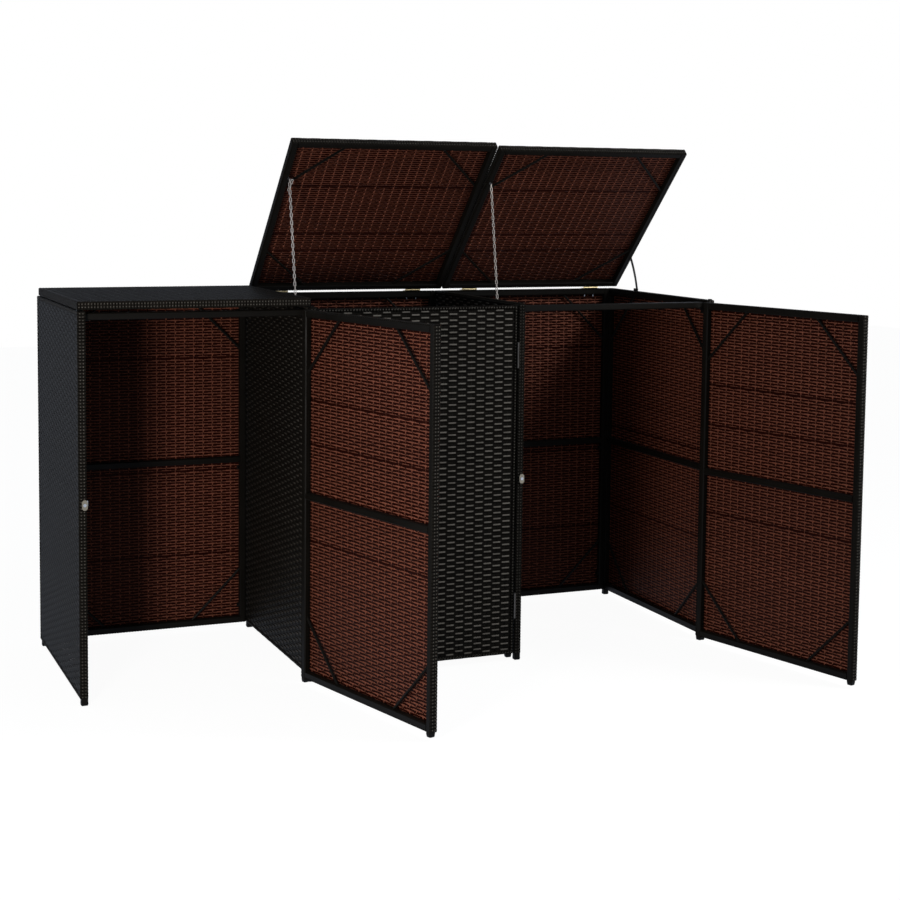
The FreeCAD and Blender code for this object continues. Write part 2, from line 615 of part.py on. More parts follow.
def swung(point, angle):
    """Point turned upward about the lid axis."""
    return axis + FreeCAD.Rotation(V(-1, 0, 0), angle).multVec(point - axis)


def arm_turn(angle):
    """Turn of the arm from hanging straight down, at a lid angle."""
    return FreeCAD.Rotation(V(-1, 0, 0), angle * (1 - size("stay_turn_share")))


def band(points, half):
    """Outline at half width either side of a path in the YZ plane, with round ends."""
    ways = []
    for k in range(len(points)):
        ahead = points[min(k + 1, len(points) - 1)] - points[max(k - 1, 0)]
        ways.append(math.atan2(ahead.z, ahead.y))
    outline = []
    for end, side in ((-1, 1), (0, -1)):
        order = zip(points[::side], ways[::side])
        outline += [p + V(0, -math.sin(w), math.cos(w)) * (side * half) for p, w in order]
        for k in range(1, CAP_STEPS):
            turn = ways[end] + side * math.pi / 2 - math.pi * k / CAP_STEPS
            outline.append(points[end] + V(0, math.cos(turn), math.sin(turn)) * half)
    return Part.Face(Part.makePolygon(outline + outline[:1]))


CAP_STEPS = 6
PATH_STEPS = 10
path = []
for k in range(-1, PATH_STEPS + 2):
    angle = full * k / PATH_STEPS
    path.append(arm_turn(angle).inverted().multVec(stud - swung(pivot, angle)))
slot_half = size("stud_radius") + size("slot_clear")
plate = band([V()] + path, slot_half + size("stay_border"))
slot = band(path, slot_half)
bore = Part.Face(Part.Wire(Part.makeCircle(size("pin_radius") + size("pin_fit"), V(), V(1, 0, 0))))
arm = doc.addObject("Part::Feature", "stay_arm")
arm.Shape = plate.cut(slot).cut(bore).extrude(V(size("stay_arm_thick"), 0, 0))
arm.Placement = FreeCAD.Placement(
    V(size_of("%s + stay_plate + 2 * leaf_gap" % STORE_RIGHT), 0, 0) + swung(pivot, full), arm_turn(full))
NODES.append(arm)

# Pivot plate of the stay on the right edge of the lid, outside the store
PLATE = "(%s + leaf_gap)" % STORE_RIGHT
ARM = "(%s + stay_plate + 2 * leaf_gap)" % STORE_RIGHT
ARM_REACH = "(stay_arm_thick + 2 * leaf_gap)"
stay_y = "(%s - stay_reach)" % LID_AXIS_Y
pivot_z = "(%s + stay_pivot_up)" % LID_BASE
plate = box("stay_lid_plate", "stay_plate", "bracket_long", "bracket_tall", PLATE,
            "%s - bracket_long / 2" % stay_y, "%s - bracket_tall / 2" % pivot_z)
rivet = rod("stay_rivet", "pin_radius", ARM_REACH, "%s - leaf_gap" % ARM, stay_y, pivot_z, RIGHT, FLATS)
cap = rod("stay_rivet_head", "screw_head", "screw_rise", "%s - leaf_gap + %s" % (ARM, ARM_REACH), stay_y, pivot_z,
          RIGHT, FLATS)
NODES.append(place(fuse("stay_lid_bracket", [plate, rivet, cap]), LID_TURN[2]))

# Side plate of the stay, screwed to the outside of the right side panel, with the stud above the panel top
stud_z = "(panel_top + stay_stud_rise)"
plate = box("stay_side_plate", "stay_plate", "stay_plate_wide", "stay_plate_drop + stay_stud_rise + stay_plate_top",
            PLATE, "%s - stay_plate_front" % stay_y, "panel_top - stay_plate_drop")
stem = rod("stay_stem", "stud_radius", ARM_REACH, "%s - leaf_gap" % ARM, stay_y, stud_z, RIGHT, FLATS)
disc = rod("stay_washer", "washer_radius", "washer_thick", "%s - leaf_gap + %s" % (ARM, ARM_REACH), stay_y, stud_z,
           RIGHT, FLATS)
screws = [
    rod("stay_screw_%d" % k, "screw_head", "screw_rise", "%s + stay_plate" % PLATE,
        "%s - stay_plate_front + stay_plate_wide - 2 * screw_head" % stay_y, height, RIGHT, FLATS)
    for k, height in enumerate(("panel_top - stay_plate_drop + 2 * screw_head", "panel_top - 2 * screw_head"))
]
NODES.append(fuse("stay_side_bracket", [plate, stem, disc] + screws))

# Checks and files
doc.recompute()
for item in NODES:
    if any(flag in item.State for flag in ("Invalid", "Error")):
        raise RuntimeError("object not computed: " + item.Name)
    if item.Shape.isNull() or not item.Shape.isValid():
        raise RuntimeError("shape not valid: " + item.Name)
    item.Shape.exportStep("parts/" + item.Name + ".step")
doc.removeObject("probe")
print(len(NODES), "parts")
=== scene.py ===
import math

import bpy
import numpy as np
from mathutils import Matrix, Vector


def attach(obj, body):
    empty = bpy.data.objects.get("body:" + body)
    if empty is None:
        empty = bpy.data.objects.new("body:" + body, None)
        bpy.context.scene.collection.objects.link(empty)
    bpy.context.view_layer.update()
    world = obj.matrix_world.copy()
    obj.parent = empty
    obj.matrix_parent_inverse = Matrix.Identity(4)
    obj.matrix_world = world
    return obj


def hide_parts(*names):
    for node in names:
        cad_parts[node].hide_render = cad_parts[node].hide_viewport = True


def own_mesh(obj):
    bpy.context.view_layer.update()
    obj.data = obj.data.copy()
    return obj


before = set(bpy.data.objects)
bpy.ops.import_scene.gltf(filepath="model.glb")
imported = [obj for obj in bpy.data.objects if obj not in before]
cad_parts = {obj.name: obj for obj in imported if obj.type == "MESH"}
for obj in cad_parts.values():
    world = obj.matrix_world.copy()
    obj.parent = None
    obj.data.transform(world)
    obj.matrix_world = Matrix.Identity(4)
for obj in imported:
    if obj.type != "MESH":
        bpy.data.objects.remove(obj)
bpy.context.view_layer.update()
scene = bpy.context.scene
scene.view_settings.view_transform = "Standard"

# Camera: the store is seen from its front left, a little above the shut lids, with an upright lens shift.
# Place, turn and lens come from the corners of the panels in the photograph.
EYE = (-0.866, -4.737, 1.477)
YAW, PITCH, ROLL = (math.radians(angle) for angle in (22.75, -5.01, 0.64))
LENS_PX, FRAME_PX, CENTRE_ROW = 1684.4, 900.0, 338.0
SENSOR_MM, FAR_CLIP = 36.0, 60.0

forward = np.array([math.sin(YAW) * math.cos(PITCH), math.cos(YAW) * math.cos(PITCH), math.sin(PITCH)])
level = np.array([math.cos(YAW), -math.sin(YAW), 0.0])
upright = np.cross(level, forward)
right_hand = level * math.cos(ROLL) + upright * math.sin(ROLL)
overhead = upright * math.cos(ROLL) - level * math.sin(ROLL)
axes = np.eye(4)
axes[:3] = np.stack([right_hand, overhead, -forward, EYE], 1)
lens = bpy.data.cameras.new("photo_camera")
lens.sensor_width = SENSOR_MM
lens.lens = LENS_PX / FRAME_PX * SENSOR_MM
lens.shift_y = (CENTRE_ROW - FRAME_PX / 2) / FRAME_PX
lens.clip_end = FAR_CLIP
camera = bpy.data.objects.new("photo_camera", lens)
scene.collection.objects.link(camera)
camera.matrix_world = Matrix(axes.tolist())
scene.camera = camera

# Studio: a near key lamp low at the left front, a high lamp at the right front, a weak one beside it and a
# bluish one behind at the left. The floor and the surround are white to the eye alone, so that the store
# stays as dark as in the photograph.
SKY_TINT, SKY_STRENGTH = (0.88, 0.93, 1.0, 1.0), 0.30
WHITE, MIRRORED = (1.0, 1.0, 1.0, 1.0), (0.62, 0.68, 0.80, 1.0)
FLOOR_LIT, PAPER = (0.30, 0.30, 0.30, 1.0), (0.86, 0.86, 0.86, 1.0)
PAPER_GLOW, GLOW_SHARE = 1.06, 0.9
FLOOR_CORNERS, FLOOR_DROP = ((-9, -9), (11, -9), (11, 11), (-9, 11)), -0.001
# Each lamp's name, place, aim, size in metres, watts and tint.
LAMPS = (
    ("key_lamp", (-1.18, -2.30, 0.90), (1.0, 0.0, 0.7), 0.42, 52.0, (1.0, 0.96, 0.91)),
    ("high_lamp", (3.60, -1.75, 3.10), (1.5, 0.3, 0.8), 0.8, 60.0, (0.95, 0.98, 1.0)),
    ("right_lamp", (3.40, -2.20, 0.90), (1.4, 0.0, 0.9), 0.8, 12.0, (1.0, 0.98, 0.95)),
    ("side_lamp", (-4.5, 2.2, 2.2), (0.0, 0.35, 0.6), 2.4, 12.0, (0.42, 0.66, 1.0)),
)


def link_node(tree, kind, settings=None, **wires):
    """Adds a node, sets its named fields or sockets, and wires the given sources to its sockets. _0 is its
    first socket, and an underscore inside a name stands for a space."""
    node = tree.nodes.new(kind)
    for name, value in (settings or {}).items():
        if isinstance(name, int) or name in node.inputs:
            node.inputs[name].default_value = value
        else:
            setattr(node, name, value)
    for name, source in wires.items():
        key = int(name[1:]) if name[1:].isdigit() else name.replace("_", " ")
        tree.links.new(source, node.inputs[key])
    return node


def seen_white(tree, kind, lit, shown):
    """The shown shader to the eye, a pale grey blue to mirror and glass rays, and the lit one to all the
    others."""
    path = link_node(tree, "ShaderNodeLightPath")
    shiny = link_node(tree, "ShaderNodeMath", {"operation": "MAXIMUM"}, _0=path.outputs["Is Glossy Ray"],
                      _1=path.outputs["Is Transmission Ray"])
    mirrored = link_node(tree, kind, {"Color": MIRRORED, "Strength": 1.0})
    unseen = link_node(tree, "ShaderNodeMixShader", Fac=shiny.outputs[0], _1=lit.outputs[0],
                       _2=mirrored.outputs[0])
    seen = link_node(tree, "ShaderNodeMixShader", Fac=path.outputs["Is Camera Ray"], _1=unseen.outputs[0],
                     _2=shown.outputs[0])
    return seen.outputs[0]


world = bpy.data.worlds.new("studio")
scene.world = world
world.use_nodes = True
tree = world.node_tree
tree.nodes.clear()
dim = link_node(tree, "ShaderNodeBackground", {"Color": SKY_TINT, "Strength": SKY_STRENGTH})
bright = link_node(tree, "ShaderNodeBackground", {"Color": WHITE, "Strength": 1.0})
link_node(tree, "ShaderNodeOutputWorld", Surface=seen_white(tree, "ShaderNodeBackground", dim, bright))

for name, place, aim, size, power, tint in LAMPS:
    lamp = bpy.data.lights.new(name, "AREA")
    lamp.size = size
    lamp.energy = power
    lamp.color = tint
    holder = bpy.data.objects.new(name, lamp)
    scene.collection.objects.link(holder)
    away = Vector(np.array(place) - np.array(aim))
    holder.matrix_world = Matrix.Translation(place) @ away.to_track_quat("Z", "Y").to_matrix().to_4x4()

floor_mesh = bpy.data.meshes.new("studio_floor")
floor_mesh.from_pydata([(x, y, FLOOR_DROP) for x, y in FLOOR_CORNERS], [], [(0, 1, 2, 3)])
floor = bpy.data.objects.new("studio_floor", floor_mesh)
scene.collection.objects.link(floor)
paper = bpy.data.materials.new("matt_white_paper_floor")
paper.use_nodes = True
tree = paper.node_tree
tree.nodes.clear()
grey = link_node(tree, "ShaderNodeBsdfDiffuse", {"Color": FLOOR_LIT})
matt = link_node(tree, "ShaderNodeBsdfDiffuse", {"Color": PAPER})
glow = link_node(tree, "ShaderNodeEmission", {"Strength": PAPER_GLOW})
pale = link_node(tree, "ShaderNodeMixShader", {"Fac": GLOW_SHARE}, _1=matt.outputs[0], _2=glow.outputs[0])
link_node(tree, "ShaderNodeOutputMaterial", Surface=seen_white(tree, "ShaderNodeEmission", grey, pale))
floor_mesh.materials.append(paper)

# Woven skins: flat extruded polyethylene strands, over one and under one round upright warps, black
# outside and brown inside, drawn tight over the square tubes and whipped round their outer edges.
TUBE, SKIN = 0.020, 0.004
STORE_DEPTH, PANEL_BASE, PANEL_TALL = 0.700, 0.020, 1.110
FRONT_Y, BACK_Y, BACK_GAP = -0.012, 0.688, 0.001
POSTS = (0.0, 0.680, 1.360, 2.036)
DOOR_BASE, DOOR_TALL, DOOR_GAP = 0.022, 1.102, 0.003
LID_WIDE, LID_LONG, LID_STEP, LID_BASE = 0.686, 0.670, 0.689, 1.1325
DOOR_AXIS_Y, LID_AXIS_Y, LID_AXIS_Z = -0.0153, 0.662, 1.1338
DOOR_SWINGS, LID_SWINGS = (104.6, 0.0, 104.9), (0.0, 45.8, 44.6)

# The strands' section, and the knots of a row: their places from one warp to the next, in warp steps, and
# how far the row has swayed there. A strand's half width is a share of the row's height. Rows stop short of
# the panel's edges, lie a hair above the skin's middle, and differ a little in height and place.
LENS_SHAPE = np.array([(-1, 0), (-0.46, 1), (0.46, 1), (1, 0), (0.46, -1), (-0.46, -1)], float)
RING = len(LENS_SHAPE)
KNOTS, KNOT_LIFT = np.array([-0.38, 0.30, 0.42]), np.array([0.95, 1.0, 0.6])
UPRIGHT_ROW, LID_ROW = 0.00935, 0.0089
STRAND_THICK, STRAND_SWAY, STRAND_OVERLAP = 0.0014, 0.0006, 0.60
ROW_INSET, ROW_LIFT, LIFT_SPREAD, ROW_SPREAD = 0.0015, 0.00005, 0.00004, 0.00008
WARP_STEP, WARP_HALF_WIDE, WARP_HALF_THICK = 0.0310, 0.0026, 0.0004

# A whipping strand's path round the tube: distance from the panel's edge, and height over its inner face.
HOOK = np.array([(0.0125, 0.0230), (0.0050, 0.0236), (0.0018, 0.0228), (0.0008, 0.0205), (0.0008, 0.0165),
                 (0.0008, 0.0120), (0.0008, 0.0075), (0.0008, 0.0035), (0.0016, 0.0012), (0.0034, 0.0004)])
WHIP_MARGIN, WHIP_OVERLAP, WHIP_HALF_THICK = 0.002, 0.47, 0.0006

# Warps and whipping strands aren't woven. They are marked as halfway between outside and inside, apart from
# three points of a whipping strand that are marked nearer outside, so that they take a faint painted
# highlight on the black side.
BETWEEN, PAINTED_GLINT, PAINTED_GLINT_POINTS = 0.5, 0.38, [1, 4, 6]
WHIP_MARKS = np.full(len(HOOK), BETWEEN)
WHIP_MARKS[PAINTED_GLINT_POINTS] = PAINTED_GLINT

# A few rows are marked as flat, and on the brown side they show as a dark line of painted shade across the
# skin: their places as shares of its height.
SIDE_LINES, RIGHT_LINES, BACK_LINES = (0.31, 0.62), (0.28, 0.55), (0.22, 0.47, 0.81)
DOOR_LINES, LID_LINES = (0.38, 0.64, 0.76), (0.3, 0.62, 0.74)

X, Y, Z = np.eye(3)
rng = np.random.default_rng(27)


def turned(origin, along, up, out, hinge=(0.0, 0.0, 0.0), axis=Z, degrees=0.0):
    """Panel frame as a 4x4, swung about a hinge line by Rodrigues' rotation I + sin(a) K + (1 - cos(a)) K K,
    where K is the cross product with the axis."""
    panel = np.eye(4)
    panel[:3] = np.stack([along, up, out, origin], 1)
    cross = np.array([[0, -axis[2], axis[1]], [axis[2], 0, -axis[0]], [-axis[1], axis[0], 0]])
    angle = math.radians(degrees)
    spin = np.eye(4)
    spin[:3, :3] = np.eye(3) + math.sin(angle) * cross + (1 - math.cos(angle)) * cross @ cross
    spin[:3, 3] = np.array(hinge) - spin[:3, :3] @ np.array(hinge)
    return spin @ panel


def strands(line, side, out, half_wide, half_thick):
    """Lens section carried along many strands at once: line + side * half_wide * a + out * half_thick * b,
    where (a, b) runs round LENS_SHAPE. line is an array of strands by points by three, and side and out are
    one direction each, or one for each point."""
    a = LENS_SHAPE[:, :1] * half_wide
    b = LENS_SHAPE[:, 1:] * half_thick
    return line[..., None, :] + side[..., None, :] * a + out[..., None, :] * b


def strand_faces(count, points, first):
    """Quads between neighbouring sections and six sided end caps, for count strands of equal length."""
    k = np.arange(RING)
    s, p = np.meshgrid(np.arange(count), np.arange(points - 1), indexing="ij")
    near = (first + (s * points + p) * RING)[..., None]
    far = near + RING
    beside = (k + 1) % RING
    quads = np.stack([near + k, far + k, far + beside, near + beside], -1).reshape(-1, 4)
    start = (first + np.arange(count) * points * RING)[:, None]
    caps = np.concatenate([start + k, start + (points - 1) * RING + k[::-1]])
    return quads, caps


def row_strands(wide, rows, row):
    """Rows that sway over and under each warp, turned over in every other row: at the knots the height is
    TUBE + SKIN / 2 + ROW_LIFT + STRAND_SWAY * lift, and lift changes sign from warp to warp. Also gives the
    count of warps along each row, even where it lies outside and odd where it lies inside."""
    warps = int(wide / WARP_STEP)
    start = (wide - warps * WARP_STEP) / 2
    number = np.arange(-1, warps + 1)[:, None]
    knots = ((number + 0.5 + KNOTS) * WARP_STEP + start).ravel()
    lift = (np.where(number % 2 == 0, 1.0, -1.0) * KNOT_LIFT).ravel()
    kept = (knots > ROW_INSET) & (knots < wide - ROW_INSET)
    u = np.concatenate([[ROW_INSET], knots[kept], [wide - ROW_INSET]])
    flip = np.where(np.arange(rows) % 2 == 0, 1.0, -1.0)
    sway = np.concatenate([[0.0], lift[kept], [0.0]])[None] * flip[:, None]
    n = TUBE + SKIN / 2 + ROW_LIFT + STRAND_SWAY * sway + rng.normal(0, LIFT_SPREAD, sway.shape)
    v = (ROW_INSET + (np.arange(rows) + 0.5) * row)[:, None] + rng.normal(0, ROW_SPREAD, n.shape)
    line = np.stack(np.broadcast_arrays(u[None], v, n), -1)
    weave = (u - start)[None] / WARP_STEP - 0.5 + np.arange(rows)[:, None]
    return strands(line, Y, Z, row * STRAND_OVERLAP, STRAND_THICK / 2), weave


def warp_strands(wide, tall):
    """Straight narrow strands, WARP_STEP apart, in the middle of the skin."""
    warps = int(wide / WARP_STEP)
    start = (wide - warps * WARP_STEP) / 2
    u = (start + (np.arange(warps) + 0.5) * WARP_STEP)[:, None]
    v = np.array([ROW_INSET, tall - ROW_INSET])[None]
    line = np.stack(np.broadcast_arrays(u, v, TUBE + SKIN / 2), -1)
    return strands(line, X, Z, WARP_HALF_WIDE, WARP_HALF_THICK)


def whip_strands(wide, tall, row):
    """Short strands side by side along each edge, wound round its tube: corner + at * along + inward * e
    + Z * n, where (e, n) runs along HOOK. Each one faces square to the hook's tangent."""
    tangent = np.gradient(HOOK, axis=0)
    tangent /= np.linalg.norm(tangent, axis=1)[:, None]
    edges = (((0.0, 0.0, 0.0), Y, X, Y, tall), ((wide, 0.0, 0.0), Y, -X, -Y, tall),
             ((0.0, 0.0, 0.0), X, Y, -X, wide), ((0.0, tall, 0.0), X, -Y, X, wide))
    blocks = []
    for corner, along, inward, side, span in edges:
        whipped = span - 2 * WHIP_MARGIN
        count = int(round(whipped / row))
        at = WHIP_MARGIN + (np.arange(count) + 0.5) * whipped / count
        line = np.array(corner) + at[:, None, None] * along + HOOK[:, :1] * inward + HOOK[:, 1:] * Z
        out = tangent[:, 1:] * inward - tangent[:, :1] * Z
        blocks.append(strands(line, side, out, row * WHIP_OVERLAP, WHIP_HALF_THICK))
    return blocks


def panel_mesh(name, points, quads, caps, slots, marks):
    """Mesh of many strands. slots holds a material number for each quad, and the end caps take the first."""
    mesh = bpy.data.meshes.new(name)
    mesh.vertices.add(len(points))
    mesh.vertices.foreach_set("co", points.ravel())
    loops = np.concatenate([quads.ravel(), caps.ravel()])
    mesh.loops.add(len(loops))
    mesh.loops.foreach_set("vertex_index", loops)
    sizes = np.concatenate([np.full(len(quads), 4), np.full(len(caps), RING)])
    mesh.polygons.add(len(sizes))
    mesh.polygons.foreach_set("loop_start", np.concatenate([[0], np.cumsum(sizes)[:-1]]))
    mesh.polygons.foreach_set("loop_total", sizes)
    mesh.polygons.foreach_set("material_index", np.concatenate([slots, np.zeros(len(caps), int)]))
    mesh.update(calc_edges=True)
    mesh.polygons.foreach_set("use_smooth", np.ones(len(sizes), bool))
    for label, values in marks.items():
        values = np.concatenate(values).astype(np.float32)
        mesh.attributes.new(label, "FLOAT", "POINT").data.foreach_set("value", values)
    mesh.validate()
    mesh.materials.append(black_strand)
    mesh.materials.append(brown_strand)
    return mesh


def woven_panel(name, wide, tall, row, place, body, flat_rows):
    """Rows, warps and whipping strands of one skin. Each point carries its weave, the count of warps; across,
    from -1 to 1 over the strand's width; lot, one random share for each strand; and line, 1 in flat rows."""
    rows = int(round((tall - 2 * ROW_INSET) / row))
    row = (tall - 2 * ROW_INSET) / rows
    flat = np.isin(np.arange(rows), [int(share * rows) for share in flat_rows]) * 1.0
    row_block, row_weave = row_strands(wide, rows, row)
    blocks = [(row_block, row_weave, flat, True), (warp_strands(wide, tall), BETWEEN, 0.0, True)]
    blocks += [(block, WHIP_MARKS, 0.0, False) for block in whip_strands(wide, tall, row)]
    points, quads, caps, slots = [], [], [], []
    marks = {"weave": [], "across": [], "lot": [], "line": []}
    first = 0
    for block, weave, line, brown_inside in blocks:
        count, length = block.shape[:2]
        sides, ends = strand_faces(count, length, first)
        points.append(block.reshape(-1, 3))
        quads.append(sides)
        caps.append(ends)
        ring = np.tile(np.arange(RING), count * (length - 1))
        slots.append(np.where(brown_inside & (ring >= RING // 2), 1, 0))
        marks["weave"].append(np.broadcast_to(np.asarray(weave)[..., None], block.shape[:3]).ravel())
        marks["across"].append(np.broadcast_to(LENS_SHAPE[:, 0], block.shape[:3]).ravel())
        marks["lot"].append(np.repeat(rng.random(count), length * RING))
        marks["line"].append(np.repeat(np.broadcast_to(line, count), length * RING))
        first += count * length * RING
    points = np.concatenate(points) @ place[:3, :3].T + place[:3, 3]
    mesh = panel_mesh(name, points, np.concatenate(quads), np.concatenate(caps), np.concatenate(slots), marks)
    piece = bpy.data.objects.new(name, mesh)
    scene.collection.objects.link(piece)
    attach(piece, body)
    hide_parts(name.replace("_strands", "_weave"))


def hex_colour(text):
    """sRGB hex value as a linear colour: c / 12.92 near black, else ((c + 0.055) / 1.055) ** 2.4."""
    parts = [int(text[i:i + 2], 16) / 255 for i in (1, 3, 5)]
    return tuple(c / 12.92 if c <= 0.04045 else ((c + 0.055) / 1.055) ** 2.4 for c in parts) + (1.0,)


def smooth_steps(tree, *steps):
    """Product of smooth steps, each of which runs from 0 to 1 as its source goes from low to high."""
    mask = None
    for source, (low, high) in steps:
        limits = {"From Min": low, "From Max": high, "interpolation_type": "SMOOTHSTEP"}
        step = link_node(tree, "ShaderNodeMapRange", limits, Value=source)
        if mask is not None:
            step = link_node(tree, "ShaderNodeMath", {"operation": "MULTIPLY"}, _0=mask, _1=step.outputs[0])
        mask = step.outputs[0]
    return mask


# Black outside: one pale dash of painted highlight on the upper part of each crest that lies outside. It
# stands for the shine of a smooth strand, so it fades where the weave is seen at a slant. Each pair is where
# a smooth step starts and ends.
DASH_LOW, DASH_HIGH, DASH_ENDS, DASH_FADE = (-0.25, 0.05), (0.75, 0.5), (0.2, 0.45), (0.86, 0.35)


def painted_highlight_mask(tree, marks):
    """Mask of the painted highlight, one pale dash on each crest: a band across the strand, times the crest,
    times the fade at a slant.
    """
    slant = link_node(tree, "ShaderNodeLayerWeight", {"Blend": 0.5}).outputs["Facing"]
    return smooth_steps(tree, (marks["across"], DASH_LOW), (marks["across"], DASH_HIGH),
                        (marks["crest"], DASH_ENDS), (slant, DASH_FADE))


# Brown inside, painted light and shade: the upper half of each strand is painted lit all along, the lower
# half only where it bulges over a warp, and a short dip of painted shade shows just beside that bulge.
# Elsewhere the painted shade of the gaps between rows shows. Flat rows have no bulge and a thinner lit part.
LIT_HALF, FLAT_DROP = (0.18, 0.34), -0.3
BULGE = (-0.970, -0.990)
DIP_START, DIP_END, DIP_INSIDE, DIP_DEPTH = (0.62, 0.72), (0.92, 0.82), (0.0, -0.2), -0.6


def painted_light_lines(tree, marks):
    """Mask of the painted lit lines: the upper half less the painted shaded dip, or the bulge of a row that
    isn't flat, whichever is larger. Where it is low, the painted shade shows."""
    lowered = link_node(tree, "ShaderNodeMath", {"operation": "MULTIPLY_ADD", 1: FLAT_DROP},
                        _0=marks["line"], _2=marks["across"])
    upper = smooth_steps(tree, (lowered.outputs[0], LIT_HALF))
    dip = smooth_steps(tree, (marks["flank"], DIP_START), (marks["flank"], DIP_END),
                       (marks["crest"], DIP_INSIDE))
    dipped = link_node(tree, "ShaderNodeMath", {"operation": "MULTIPLY_ADD", 1: DIP_DEPTH}, _0=dip, _2=upper)
    bulge = link_node(tree, "ShaderNodeMath", {"operation": "SUBTRACT"},
                      _0=smooth_steps(tree, (marks["crest"], BULGE)), _1=marks["line"])
    lit = link_node(tree, "ShaderNodeMath", {"operation": "MAXIMUM"}, _0=dipped.outputs[0],
                    _1=bulge.outputs[0])
    return lit.outputs[0]


# Both strands are extruded polyethylene with a dull skin, cloudy in patches of about 17 mm, which is one over
# the scale, and a little lighter or darker from one strand to the next. The gloss is low, because the pale
# dash of painted highlight already shows the shine.
STRAND_ROUGHNESS, MOTTLE, LOT_SHARE = 0.5, {"Scale": 60.0, "Detail": 3.0}, 0.3
SHADE = {"From Min": 0.3, "From Max": 1.0, "To Min": 0.7, "To Max": 1.25}


def strand_material(name, lit, shaded, gloss, mask):
    """A painted lit and a painted shaded colour shared out by a mask, times the tone of strand and skin.
    crest and flank are the cosine and sine of pi * weave: crest is 1 where the strand lies outside a warp and
    -1 inside."""
    material = bpy.data.materials.new(name)
    material.use_nodes = True
    tree = material.node_tree
    shader = tree.nodes["Principled BSDF"]
    shader.inputs["Roughness"].default_value = STRAND_ROUGHNESS
    shader.inputs["Specular IOR Level"].default_value = gloss
    marks = {label: link_node(tree, "ShaderNodeAttribute", {"attribute_name": label}).outputs["Fac"]
             for label in ("weave", "across", "lot", "line")}
    angle = link_node(tree, "ShaderNodeMath", {"operation": "MULTIPLY", 1: math.pi}, _0=marks["weave"])
    for label, curve in (("crest", "COSINE"), ("flank", "SINE")):
        marks[label] = link_node(tree, "ShaderNodeMath", {"operation": curve}, _0=angle.outputs[0]).outputs[0]
    spot = link_node(tree, "ShaderNodeTexCoord").outputs["Object"]
    mottle = link_node(tree, "ShaderNodeTexNoise", MOTTLE, Vector=spot)
    # Sockets 6 and 7 are the mix's two colours.
    base = link_node(tree, "ShaderNodeMix", {"data_type": "RGBA", 6: hex_colour(shaded), 7: hex_colour(lit)},
                     _0=mask(tree, marks))
    change = link_node(tree, "ShaderNodeMath", {"operation": "MULTIPLY_ADD", 1: LOT_SHARE},
                       _0=marks["lot"], _2=mottle.outputs[0])
    shade = link_node(tree, "ShaderNodeMapRange", SHADE, Value=change.outputs[0])
    tinted = link_node(tree, "ShaderNodeVectorMath", {"operation": "SCALE"}, _0=base.outputs[2],
                       Scale=shade.outputs[0])
    tree.links.new(tinted.outputs[0], shader.inputs["Base Color"])
    return material


# The black strand's lit colour is the painted highlight on its crests.
black_strand = strand_material("black_polyethylene_strand", "#77726b", "#191714", 0.02, painted_highlight_mask)
# The brown strand's lit colour is painted light on the strands' upper halves and bulges, and its shaded
# colour is painted shade in the gaps between rows and in the dips.
brown_strand = strand_material("brown_polyethylene_strand", "#7b4a3a", "#200602", 0.04, painted_light_lines)

BAY_LEFT = [post + TUBE / 2 for post in POSTS[:3]]
BAY_RIGHT = [POSTS[1] - TUBE / 2 - SKIN, POSTS[2] - TUBE / 2 - SKIN, POSTS[3] - TUBE / 2]
for name, post in zip(("left_side", "divider_1", "divider_2"), POSTS[:3]):
    place = turned((post + TUBE / 2, BACK_Y, PANEL_BASE), -Y, Z, -X)
    woven_panel(name + "_strands", STORE_DEPTH, PANEL_TALL, UPRIGHT_ROW, place, "store", SIDE_LINES)
place = turned((POSTS[3] - TUBE / 2, FRONT_Y, PANEL_BASE), Y, Z, X)
woven_panel("right_side_strands", STORE_DEPTH, PANEL_TALL, UPRIGHT_ROW, place, "store", RIGHT_LINES)
for i in range(3):
    wide = BAY_RIGHT[i] - BAY_LEFT[i] - BACK_GAP
    place = turned((BAY_RIGHT[i] - BACK_GAP / 2, BACK_Y - SKIN - TUBE, PANEL_BASE), -X, Z, Y)
    woven_panel("back_%d_strands" % (i + 1), wide, PANEL_TALL, UPRIGHT_ROW, place, "store", BACK_LINES)
for i in range(3):
    body = "door_%d" % (i + 1)
    wide = BAY_RIGHT[i] - BAY_LEFT[i] - 2 * DOOR_GAP
    corner = (BAY_LEFT[i] + DOOR_GAP, FRONT_Y + SKIN + TUBE, DOOR_BASE)
    place = turned(corner, X, Z, -Y, (BAY_RIGHT[i] - DOOR_GAP / 2, DOOR_AXIS_Y, 0.0), Z, DOOR_SWINGS[i])
    woven_panel(body + "_strands", wide, DOOR_TALL, UPRIGHT_ROW, place, body, DOOR_LINES)
for i in range(3):
    body = "lid_%d" % (i + 1)
    corner = (-TUBE / 2 - SKIN + i * LID_STEP, FRONT_Y, LID_BASE)
    place = turned(corner, X, Y, Z, (0.0, LID_AXIS_Y, LID_AXIS_Z), -X, LID_SWINGS[i])
    woven_panel(body + "_strands", LID_WIDE, LID_LONG, LID_ROW, place, body, LID_LINES)

# Square tube frames and front rails: welded steel tube under a dark satin powder coat, which gives broad
# weak lights and a slight orange peel. A finish's noise has features of about one over its scale: clouds
# of 110 mm, and here a peel of 1.4 mm.
CLOUD, CLOUD_RANGE = {"Scale": 9.0, "Detail": 5.0}, {"From Min": 0.3, "From Max": 0.7}
COLOUR_SPREAD, ROUGH_SPREAD = 0.12, 0.2
GRAIN_DETAIL, GRAIN_HEIGHT = 4.0, 0.0003
PEEL_SCALE, PEEL_BUMP = 700.0, 0.25


